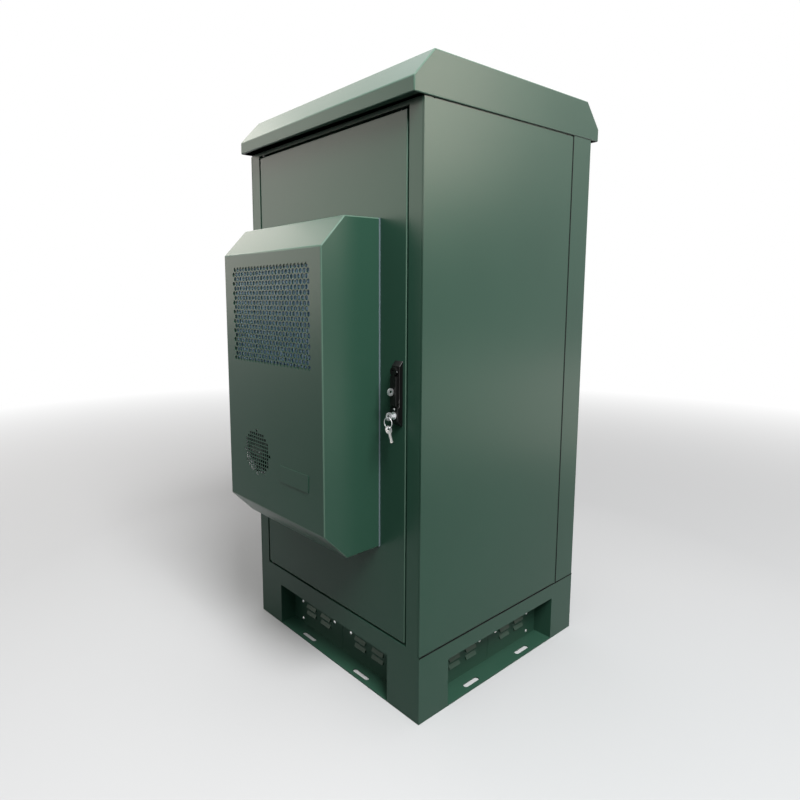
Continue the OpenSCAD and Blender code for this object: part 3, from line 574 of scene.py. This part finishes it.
def blank_plate(name, node):
    """Blank plate with round corners on the front of a node."""
    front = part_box(node)[0][1]
    x, z = PLATE_MIDDLE
    half_width, half_height = (side / 2 for side in PLATE_SIZE)
    shape = bmesh.new()
    add_box(shape, (x - half_width, front - PLATE_THICKNESS, z - half_height),
            (x + half_width, front, z + half_height))
    corners = [edge for edge in shape.edges if abs(edge.verts[0].co.y - edge.verts[1].co.y) > MERGE]
    rounded_edges(shape, corners, PLATE_CORNER)
    placed(name, meshed(name, shape), body_of(nodes[node])[0], slot_of[node])


def thinned(node, thickness):
    """Copy of a CAD node as a thin sheet behind its own front."""
    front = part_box(node)[0][1]
    shape = merged(node)
    for vert in shape.verts:
        vert.co.y = front + (thickness if vert.co.y - front > NEAR else 0)
    stand_in(node + "_sheet", shape, node)


def bore_light_sleeve(name, node):
    """Pale sleeve in the bore of a fan housing, from its front inwards: a near-white finish as painted light
    on the bore wall.
    """
    low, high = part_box(node)
    middle = Vector(((low[0] + high[0]) / 2, low[1], (low[2] + high[2]) / 2))
    inner, outer = SLEEVE_RADII
    shape = bmesh.new()
    loops = []
    turns = [2 * math.pi * step / SLEEVE_SIDES for step in range(SLEEVE_SIDES)]
    for radius, depth in ((outer, 0), (inner, 0), (inner, SLEEVE_LENGTH), (outer, SLEEVE_LENGTH)):
        ring = [Vector((radius * math.cos(turn), depth, radius * math.sin(turn))) for turn in turns]
        loops.append([shape.verts.new(middle + point) for point in ring])
    for first, second in zip(loops, loops[1:] + loops[:1]):
        for step in range(SLEEVE_SIDES):
            after = (step + 1) % SLEEVE_SIDES
            shape.faces.new((first[step], second[step], second[after], first[after]))
    bmesh.ops.recalc_face_normals(shape, faces=shape.faces)
    # The near-white finish is painted light on the bore wall
    finished(placed(name, meshed(name, shape), "door", "zinc"), "bore_light_pale")


def centred(middle, width):
    """Low and high end of a width around its middle."""
    return (middle - width / 2, middle + width / 2)


def seam_shade_strips(name):
    """Black strips over the joints behind both side panels and along the plinth's top, but for its front:
    painted shade that darkens the seams.
    """
    low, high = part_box("right_side_panel")
    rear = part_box("rear_frame")[1][1]
    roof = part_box("roof_cap")[0][2]
    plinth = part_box("right_plinth")[1][2]
    face = high[0]
    proud = face + SHADE_STRIP_PROUD
    upright = centred(high[1] + SEAM / 2, UPRIGHT_SHADE_STRIP)
    level = centred(plinth + SEAM / 2, LEVEL_SHADE_STRIP)
    shape = bmesh.new()
    add_box(shape, (-proud, rear, level[0]), (proud, rear + SHADE_STRIP_PROUD, level[1]))
    for near, far in ((face, proud), (-proud, -face)):
        add_box(shape, (near, upright[0], level[1]), (far, upright[1], roof))
        add_box(shape, (near, low[1], level[0]), (far, rear, level[1]))
    # The black strips are painted shade in the seams
    placed(name, meshed(name, shape), "cabinet", "black_rubber")


# Studio and camera
def seen_rays(finish):
    """1 for what the camera, a reflection or a view through glass sees, 0 for light on its way."""
    camera, glossy, through = (finish.node("ShaderNodeLightPath", output=name)
                               for name in ("Is Camera Ray", "Is Glossy Ray", "Is Transmission Ray"))
    return finish.node("ShaderNodeMath", {"operation": "ADD", "use_clamp": True},
                       {0: camera, 1: glossy + through})


def studio_floor():
    """Pale floor that fades to plain white away from the cabinet."""
    floor = new_finish("studio_floor")
    place = floor.node("ShaderNodeNewGeometry", output="Position")
    away = floor.node("ShaderNodeVectorMath", {"operation": "LENGTH"}, {0: place}, "Value")
    far = floor.node("ShaderNodeMapRange", {}, {
        "Value": away, "From Min": FLOOR_FADE[0], "From Max": FLOOR_FADE[1]})
    tone = floor.blend(seen_rays(floor), rgb(60, 61, 62), rgb(200, 201, 202))
    near = floor.node("ShaderNodeBsdfDiffuse", {}, {"Color": tone})
    white = floor.node("ShaderNodeEmission", {}, {"Color": (1, 1, 1, 1), "Strength": seen_rays(floor)})
    return floor.surface(floor.node("ShaderNodeMixShader", {}, {0: far, 1: near, 2: white}))


def make_floor():
    """Wide square floor just below the cabinet."""
    mesh = bpy.data.meshes.new("floor")
    corners = [(x * FLOOR_REACH, y * FLOOR_REACH, 0) for x, y in ((-1, -1), (1, -1), (1, 1), (-1, 1))]
    mesh.from_pydata(corners, [], [(0, 1, 2, 3)])
    floor = linked("floor", mesh)
    mesh.materials.append(studio_floor())
    floor.location.z = -FLOOR_DROP


def make_world():
    """White to the camera and to reflections, softer as a light."""
    world = Finish(bpy.data.worlds.new("studio"))
    strength = WORLD_LIGHT + seen_rays(world) * (1 - WORLD_LIGHT)
    world.surface(world.node("ShaderNodeBackground", {}, {"Color": (1, 1, 1, 1), "Strength": strength}),
                  "ShaderNodeOutputWorld")
    bpy.context.scene.world = world.owner


def soft_box(name, place, aim, size, radiance, tint, lights):
    """Rectangular lamp at a place, turned to a point and evenly bright; it lights or only mirrors."""
    lamp = bpy.data.lights.new(name, "AREA")
    lamp.color = tint
    lamp.shape = "RECTANGLE"
    lamp.size, lamp.size_y = size
    lamp.energy = radiance * math.pi * size[0] * size[1]
    obj = linked(name, lamp)
    obj.visible_camera = False
    obj.visible_diffuse = lights
    obj.location = place
    obj.rotation_euler = (Vector(aim) - Vector(place)).to_track_quat("-Z", "Y").to_euler()


def make_camera():
    """Camera of the photograph, from its fitted place, turn and picture centre."""
    ahead = Vector((-math.sin(YAW) * math.cos(PITCH), math.cos(YAW) * math.cos(PITCH), math.sin(PITCH)))
    level = Vector((math.cos(YAW), math.sin(YAW), 0))
    above = level.cross(ahead)
    right = math.cos(ROLL) * level + math.sin(ROLL) * above
    up = math.cos(ROLL) * above - math.sin(ROLL) * level
    data = bpy.data.cameras.new("camera")
    data.sensor_width = SENSOR
    data.lens = FOCAL * SENSOR / IMAGE
    data.shift_x = 0.5 - CENTRE[0] / IMAGE
    data.shift_y = CENTRE[1] / IMAGE - 0.5
    camera = linked("camera", data)
    camera.matrix_world = Matrix.Translation(CAMERA) @ Matrix((right, up, -ahead)).transposed().to_4x4()
    bpy.context.scene.camera = camera


# Finishes of the CAD nodes
for node, obj in nodes.items():
    finished(obj, slot_of[node])
for node in ("top_pivot_pin", "bottom_pivot_pin"):
    finished(nodes[node], "black_metal")
for side in ("front", "right", "rear", "left"):
    finished(nodes[side + "_vent_panels"], "sheltered_paint")

# Rounded sheets and castings
for node in FOLDED_SHEETS:
    rounded(node, FOLD_RADIUS, True)
for node in PIERCED_SHEETS:
    rounded(node, PIERCED_RADIUS, False)
for node in CASTINGS:
    rounded(node, CAST_RADIUS, True)

# Screws and trim
HEADS = head_group()
screws("panel_screws", "cabinet", "bright_steel", panel_spots())
screws("cabinet_screws", "cabinet", "zinc",
       rim("rear_panel", ACROSS_Y, *REAR_PANEL_RIM, SCREW)
       + rim("gland_plate", ACROSS_Z, *GLAND_PLATE_RIM, SCREW))
screws("door_screws", "door", "zinc",
       rim("inner_cover", ACROSS_Y, *INNER_COVER_RIM, SCREW)
       + rim("lock_case", ACROSS_Y, *LOCK_CASE_RIM, SMALL_SCREW))
screws("handle_catch", "door", "bright_steel", [(CATCH, Vector((0, -1, 0)), SMALL_SCREW)])
thinned("vent_screen", SCREEN_SHEET)
# Pale sleeve as painted light on the bore wall
bore_light_sleeve("bore_light_sleeve", "fan_housing")
# Black strips of painted shade in the seams
seam_shade_strips("seam_shade_strips")
blank_plate("blank_plate", "cooler_hood")

# Studio
make_floor()
make_world()
for name, lamp in LAMPS.items():
    soft_box(name, *lamp)
make_camera()
bpy.context.scene.view_settings.view_transform = "Standard"
